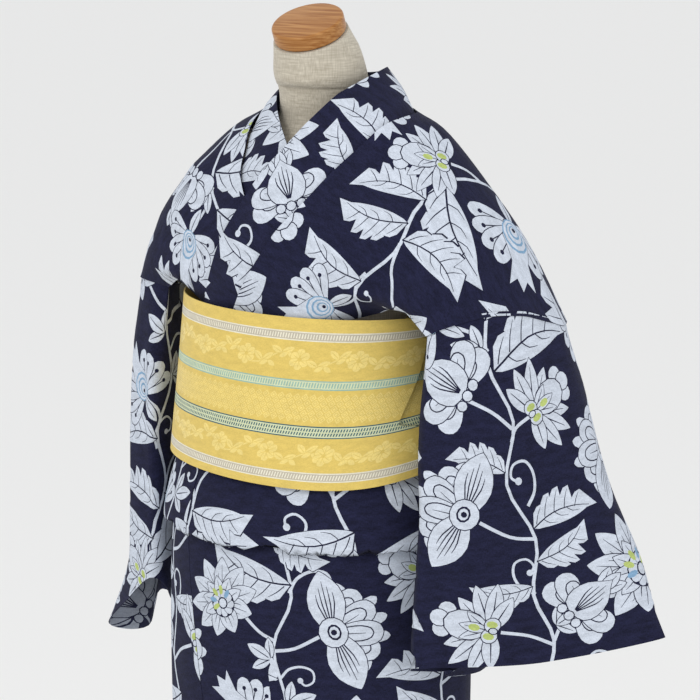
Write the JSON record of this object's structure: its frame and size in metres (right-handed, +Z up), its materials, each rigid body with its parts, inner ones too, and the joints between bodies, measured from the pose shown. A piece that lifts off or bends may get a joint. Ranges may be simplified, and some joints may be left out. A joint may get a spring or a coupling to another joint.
{
  "type": "cotton yukata robe with half-width obi sash on a limbless dress form",
  "caption": "Wrapped cotton yukata robe with wide hanging sleeves, a waist fold and a flat sash tied in a bow, worn on a neck-and-torso dress form with a round standing base.",
  "frame": {"origin": "centre of the round base's underside, on the floor", "axes": "+Z up, the wearer faces -Y, +X is the wearer's left"},
  "size_m": [0.6318, 0.3449, 1.4125],
  "materials": {
    "printed_cotton": "matte slub cotton",
    "sash": "woven with a soft sheen",
    "linen": "matte linen",
    "oak": "satin lacquer",
    "steel": "satin"
  },
  "bodies": {
    "root": {"form_torso": "linen", "form_neck": "linen", "form_cap": "oak", "form_pole": "steel", "form_base": "steel", "collar": "printed_cotton", "left_bodice": "printed_cotton", "right_bodice": "printed_cotton", "left_sleeve": "printed_cotton", "right_sleeve": "printed_cotton", "waist_fold_left": "printed_cotton", "waist_fold_overlap": "printed_cotton", "waist_fold_right": "printed_cotton", "left_body_skirt": "printed_cotton", "left_overlap_skirt": "printed_cotton", "right_body_skirt": "printed_cotton", "right_overlap_skirt": "printed_cotton", "obi_front_turn": "sash", "obi_side_turn": "sash", "bow_left_wing": "sash", "bow_right_wing": "sash", "bow_knot": "sash"}
  },
  "joints": []
}
